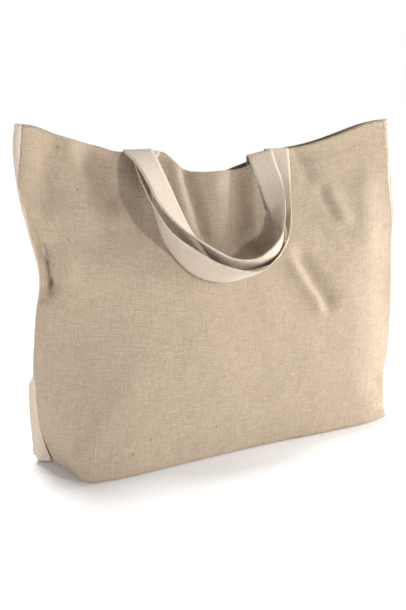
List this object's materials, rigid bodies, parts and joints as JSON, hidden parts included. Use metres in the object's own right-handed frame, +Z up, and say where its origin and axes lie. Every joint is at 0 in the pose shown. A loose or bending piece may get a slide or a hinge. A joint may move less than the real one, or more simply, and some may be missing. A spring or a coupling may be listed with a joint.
{
  "type": "tote bag",
  "caption": "Large woven jute tote with a flat base, side gussets, a sagging open mouth and two webbing handles that hang over the front and swing up",
  "frame": {"origin": "middle of the flat base, on the surface the bag stands on", "axes": "+X along the mouth to the right seen from the front, -Y out of the front, +Z up"},
  "size_m": [0.5456, 0.162, 0.4194],
  "materials": {
    "jute_cloth": "plain woven natural jute, matte",
    "cotton_webbing": "woven cotton webbing, matte",
    "binding_tape": "woven cotton tape, matte",
    "sewing_thread": "spun cotton thread, matte"
  },
  "bodies": {
    "root": {"main_panel": "jute_cloth", "side_gusset_left": "jute_cloth", "side_gusset_right": "jute_cloth", "seam_binding_front_left": "binding_tape", "seam_binding_front_right": "binding_tape", "seam_binding_back_left": "binding_tape", "seam_binding_back_right": "binding_tape", "hem_stitching": "sewing_thread", "handle_end_front_left": "cotton_webbing", "handle_end_front_right": "cotton_webbing", "handle_end_back_left": "cotton_webbing", "handle_end_back_right": "cotton_webbing", "handle_fold_front_left": "cotton_webbing", "handle_fold_front_right": "cotton_webbing", "handle_fold_back_left": "cotton_webbing", "handle_fold_back_right": "cotton_webbing", "box_stitch_front_left": "sewing_thread", "box_stitch_front_right": "sewing_thread", "box_stitch_back_left": "sewing_thread", "box_stitch_back_right": "sewing_thread"},
    "front_handle": {"handle_loop_front": "cotton_webbing"},
    "back_handle": {"handle_loop_back": "cotton_webbing"}
  },
  "joints": [
    {"name": "front_handle_swing", "type": "hinge", "parent": "root", "child": "front_handle", "pos_m": [0, 0.0061, 0.383], "axis": [-1, 0, 0], "range_deg": [0, 165], "deforming": ["handle_fold_front_left", "handle_fold_front_right"]},
    {"name": "back_handle_swing", "type": "hinge", "parent": "root", "child": "back_handle", "pos_m": [0, 0.0107, 0.383], "axis": [-1, 0, 0], "range_deg": [0, 165], "deforming": ["handle_fold_back_left", "handle_fold_back_right"]}
  ],
  "couplings": [
    {"joint": "back_handle_swing", "follows": "front_handle_swing", "ratio": 1}
  ]
}
